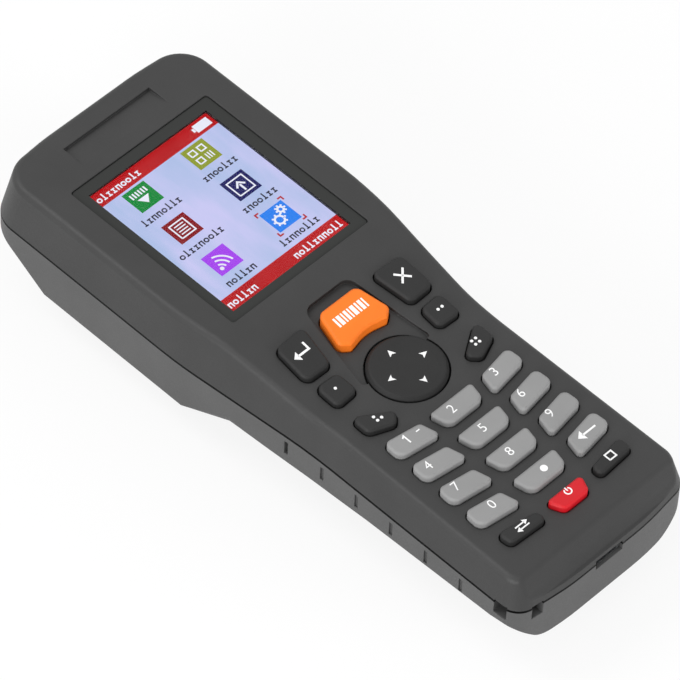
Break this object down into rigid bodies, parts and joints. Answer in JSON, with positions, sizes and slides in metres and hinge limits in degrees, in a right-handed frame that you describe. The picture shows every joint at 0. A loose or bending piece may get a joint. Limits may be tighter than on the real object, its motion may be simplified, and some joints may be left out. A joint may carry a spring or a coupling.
{
  "type": "portable barcode data terminal",
  "caption": "Handheld data collector: wide head with lit colour screen, waisted grip with keypad and rocking pad, scan window in the sloped head end, swing-down battery cover",
  "frame": {"origin": "centre of the outline at the level of the back of the head", "axes": "+X to the user's right across the face, +Y from the bottom end towards the head, +Z out of the face"},
  "size_m": [0.0588, 0.158, 0.034],
  "materials": {
    "shell": "fine moulded texture",
    "lens": "clear, dark printed border",
    "display": "lit colour picture",
    "key_black": "smooth satin",
    "key_grey": "smooth satin",
    "key_orange": "smooth satin",
    "key_red": "smooth satin",
    "rubber": "silicone",
    "board": "solder mask",
    "chip": "moulded",
    "steel": "pressed sheet",
    "gold": "plated",
    "screw": "black zinc",
    "cell": "shrink sleeve"
  },
  "bodies": {
    "case": {"battery_contacts": "gold", "battery_pack": "cell", "board_chips": "chip", "buzzer": "chip", "case_screws": "screw", "dome_switches": "steel", "front_case": "shell", "keymat_web": "rubber", "lcd_frame": "steel", "lcd_panel": "display", "lens_gasket": "rubber", "main_board": "board", "rear_case": "shell", "scan_engine": "chip", "scan_window": "lens", "screen_lens": "lens", "usb_port": "steel"},
    "enter_key_body": {"enter_key": "key_black"},
    "escape_key_body": {"escape_key": "key_black"},
    "f1_key_body": {"f1_key": "key_black"},
    "f2_key_body": {"f2_key": "key_black"},
    "f3_key_body": {"f3_key": "key_black"},
    "f4_key_body": {"f4_key": "key_black"},
    "scan_key_body": {"scan_key": "key_orange"},
    "key_1_body": {"key_1": "key_grey"},
    "key_2_body": {"key_2": "key_grey"},
    "key_3_body": {"key_3": "key_grey"},
    "key_4_body": {"key_4": "key_grey"},
    "key_5_body": {"key_5": "key_grey"},
    "key_6_body": {"key_6": "key_grey"},
    "key_7_body": {"key_7": "key_grey"},
    "key_8_body": {"key_8": "key_grey"},
    "key_9_body": {"key_9": "key_grey"},
    "key_0_body": {"key_0": "key_grey"},
    "key_dot_body": {"key_dot": "key_grey"},
    "key_delete_body": {"key_delete": "key_grey"},
    "switch_key_body": {"switch_key": "key_black"},
    "shift_key_body": {"shift_key": "key_black"},
    "power_key_body": {"power_key": "key_red"},
    "fulcrum": {"nav_fulcrum": "key_black"},
    "nav": {"nav_pad": "key_black"},
    "cover": {"battery_cover": "shell"}
  },
  "joints": [
    {"name": "enter_key_press", "type": "slide", "parent": "case", "child": "enter_key_body", "axis": [0, 0, -1], "range_m": [0, 0.0008], "stiffness_N_per_m": 900, "springref_m": -0.0003},
    {"name": "escape_key_press", "type": "slide", "parent": "case", "child": "escape_key_body", "axis": [0, 0, -1], "range_m": [0, 0.0008], "stiffness_N_per_m": 900, "springref_m": -0.0003},
    {"name": "f1_key_press", "type": "slide", "parent": "case", "child": "f1_key_body", "axis": [0, 0, -1], "range_m": [0, 0.0008], "stiffness_N_per_m": 900, "springref_m": -0.0003},
    {"name": "f2_key_press", "type": "slide", "parent": "case", "child": "f2_key_body", "axis": [0, 0, -1], "range_m": [0, 0.0008], "stiffness_N_per_m": 900, "springref_m": -0.0003},
    {"name": "f3_key_press", "type": "slide", "parent": "case", "child": "f3_key_body", "axis": [0, 0, -1], "range_m": [0, 0.0008], "stiffness_N_per_m": 900, "springref_m": -0.0003},
    {"name": "f4_key_press", "type": "slide", "parent": "case", "child": "f4_key_body", "axis": [0, 0, -1], "range_m": [0, 0.0008], "stiffness_N_per_m": 900, "springref_m": -0.0003},
    {"name": "scan_key_press", "type": "slide", "parent": "case", "child": "scan_key_body", "axis": [0, 0, -1], "range_m": [0, 0.0008], "stiffness_N_per_m": 900, "springref_m": -0.0003},
    {"name": "key_1_press", "type": "slide", "parent": "case", "child": "key_1_body", "axis": [0, 0, -1], "range_m": [0, 0.0008], "stiffness_N_per_m": 900, "springref_m": -0.0003},
    {"name": "key_2_press", "type": "slide", "parent": "case", "child": "key_2_body", "axis": [0, 0, -1], "range_m": [0, 0.0008], "stiffness_N_per_m": 900, "springref_m": -0.0003},
    {"name": "key_3_press", "type": "slide", "parent": "case", "child": "key_3_body", "axis": [0, 0, -1], "range_m": [0, 0.0008], "stiffness_N_per_m": 900, "springref_m": -0.0003},
    {"name": "key_4_press", "type": "slide", "parent": "case", "child": "key_4_body", "axis": [0, 0, -1], "range_m": [0, 0.0008], "stiffness_N_per_m": 900, "springref_m": -0.0003},
    {"name": "key_5_press", "type": "slide", "parent": "case", "child": "key_5_body", "axis": [0, 0, -1], "range_m": [0, 0.0008], "stiffness_N_per_m": 900, "springref_m": -0.0003},
    {"name": "key_6_press", "type": "slide", "parent": "case", "child": "key_6_body", "axis": [0, 0, -1], "range_m": [0, 0.0008], "stiffness_N_per_m": 900, "springref_m": -0.0003},
    {"name": "key_7_press", "type": "slide", "parent": "case", "child": "key_7_body", "axis": [0, 0, -1], "range_m": [0, 0.0008], "stiffness_N_per_m": 900, "springref_m": -0.0003},
    {"name": "key_8_press", "type": "slide", "parent": "case", "child": "key_8_body", "axis": [0, 0, -1], "range_m": [0, 0.0008], "stiffness_N_per_m": 900, "springref_m": -0.0003},
    {"name": "key_9_press", "type": "slide", "parent": "case", "child": "key_9_body", "axis": [0, 0, -1], "range_m": [0, 0.0008], "stiffness_N_per_m": 900, "springref_m": -0.0003},
    {"name": "key_0_press", "type": "slide", "parent": "case", "child": "key_0_body", "axis": [0, 0, -1], "range_m": [0, 0.0008], "stiffness_N_per_m": 900, "springref_m": -0.0003},
    {"name": "key_dot_press", "type": "slide", "parent": "case", "child": "key_dot_body", "axis": [0, 0, -1], "range_m": [0, 0.0008], "stiffness_N_per_m": 900, "springref_m": -0.0003},
    {"name": "key_delete_press", "type": "slide", "parent": "case", "child": "key_delete_body", "axis": [0, 0, -1], "range_m": [0, 0.0008], "stiffness_N_per_m": 900, "springref_m": -0.0003},
    {"name": "switch_key_press", "type": "slide", "parent": "case", "child": "switch_key_body", "axis": [0, 0, -1], "range_m": [0, 0.0008], "stiffness_N_per_m": 900, "springref_m": -0.0003},
    {"name": "shift_key_press", "type": "slide", "parent": "case", "child": "shift_key_body", "axis": [0, 0, -1], "range_m": [0, 0.0008], "stiffness_N_per_m": 900, "springref_m": -0.0003},
    {"name": "power_key_press", "type": "slide", "parent": "case", "child": "power_key_body", "axis": [0, 0, -1], "range_m": [0, 0.0008], "stiffness_N_per_m": 900, "springref_m": -0.0003},
    {"name": "nav_rock_updown", "type": "hinge", "parent": "case", "child": "fulcrum", "pos_m": [0, -0.0198, 0.0248], "axis": [1, 0, 0], "range_deg": [-3, 3], "stiffness_Nm_per_rad": 0.06},
    {"name": "nav_rock_leftright", "type": "hinge", "parent": "fulcrum", "child": "nav", "pos_m": [0, -0.0198, 0.0248], "axis": [0, 1, 0], "range_deg": [-3, 3], "stiffness_Nm_per_rad": 0.06},
    {"name": "battery_cover_swing", "type": "hinge", "parent": "case", "child": "cover", "pos_m": [0, -0.002, 0.007], "axis": [1, 0, 0], "range_deg": [0, 75]}
  ]
}
